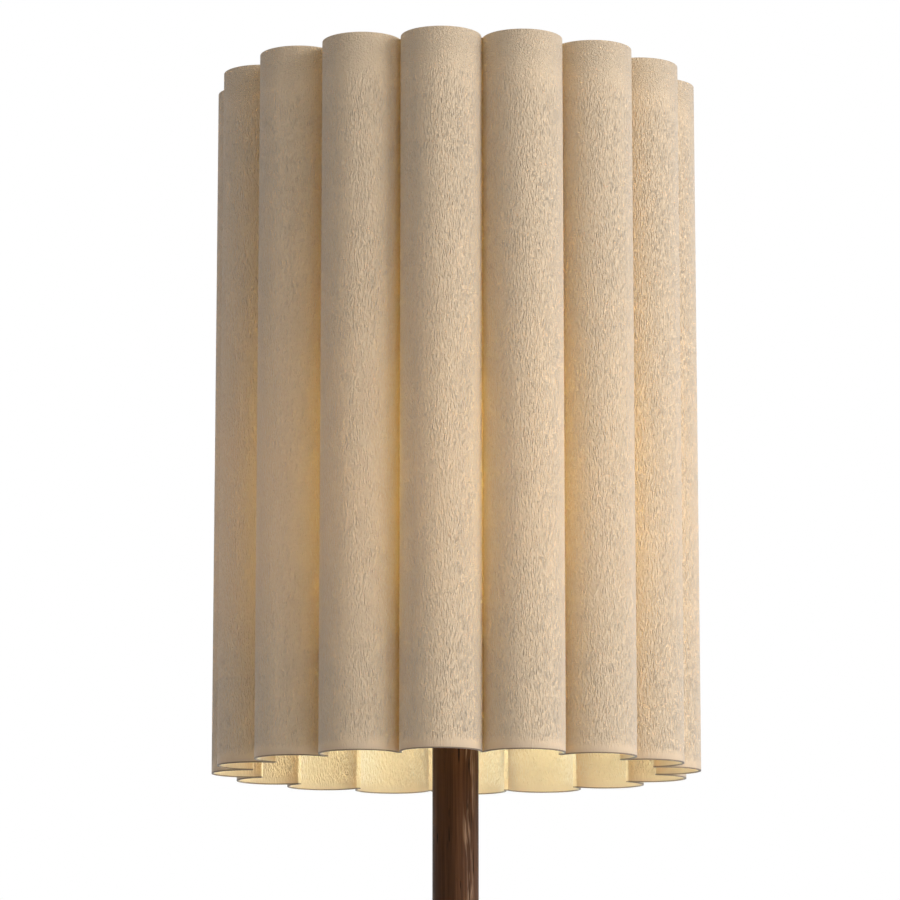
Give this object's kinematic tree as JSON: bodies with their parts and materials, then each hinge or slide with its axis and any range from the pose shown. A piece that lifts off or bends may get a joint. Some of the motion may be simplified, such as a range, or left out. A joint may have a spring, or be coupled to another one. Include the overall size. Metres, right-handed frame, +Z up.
{
  "type": "floor lamp",
  "caption": "Floor lamp with a round wooden pole on a weighted wooden base, a lamp holder with a turn switch, and a tall fluted cylindrical shade.",
  "frame": {"origin": "centre of the underside of the base's felt pad, on the floor", "axes": "+Z up along the pole; the front is -Y, with a lobe of the shade centred on it; the cord bushing is at the back, +Y; the switch knob points along +X"},
  "size_m": [0.318, 0.318, 1.5],
  "materials": {
    "walnut": "oiled dark walnut, open straight grain",
    "felt": "dense dark grey pressed felt",
    "iron": "sand-cast, dark primer",
    "steel": "zinc-plated steel",
    "brass": "plain brass",
    "black_metal": "black powder coat, satin",
    "wire_white": "cream powder coat, satin",
    "black_plastic": "black moulded thermoset, satin",
    "porcelain": "white glazed porcelain",
    "black_glass": "black vitrite glass, opaque",
    "cap_metal": "rolled aluminium",
    "frosted_glass": "frosted inside, lit warm white",
    "shade_paper": "beige crinkled paper-faced sheet, translucent"
  },
  "bodies": {
    "stand": {"felt_pad": "felt", "base_disc": "walnut", "base_weight": "iron", "weight_screws": "steel", "cord_bushing": "black_plastic", "base_washer": "steel", "base_nut": "steel", "pipe_lower": "steel", "pipe_coupler": "brass", "pipe_upper": "steel", "pole_lower": "walnut", "pole_upper": "walnut", "pole_cap": "black_metal", "holder_locknut": "steel", "holder_cap": "black_plastic", "entry_grub_screw": "steel", "switch_body": "black_plastic", "switch_bushing": "brass", "switch_nut": "brass", "contact_block": "porcelain", "terminal_blocks": "brass", "terminal_screws": "steel", "centre_contact": "brass", "holder_skirt": "black_plastic", "shade_ring_nut": "black_plastic", "screw_shell": "brass", "bulb_cap": "cap_metal", "bulb_contact": "brass", "bulb_insulator": "black_glass", "bulb_globe": "frosted_glass"},
    "knob": {"switch_spindle": "brass", "switch_knob": "black_plastic"},
    "shade": {"carrier_ring": "wire_white", "carrier_arms": "wire_white", "lower_hoop": "wire_white", "upper_hoop": "wire_white", "shade_skin": "shade_paper"}
  },
  "joints": [
    {"name": "switch_knob_turn", "type": "hinge", "parent": "stand", "child": "knob", "pos_m": [0.02, 0, 1.0985], "axis": [1, 0, 0], "continuous": true},
    {"name": "shade_swivel", "type": "hinge", "parent": "stand", "child": "shade", "pos_m": [0, 0, 1.1136], "axis": [0, 0, 1], "continuous": true}
  ]
}
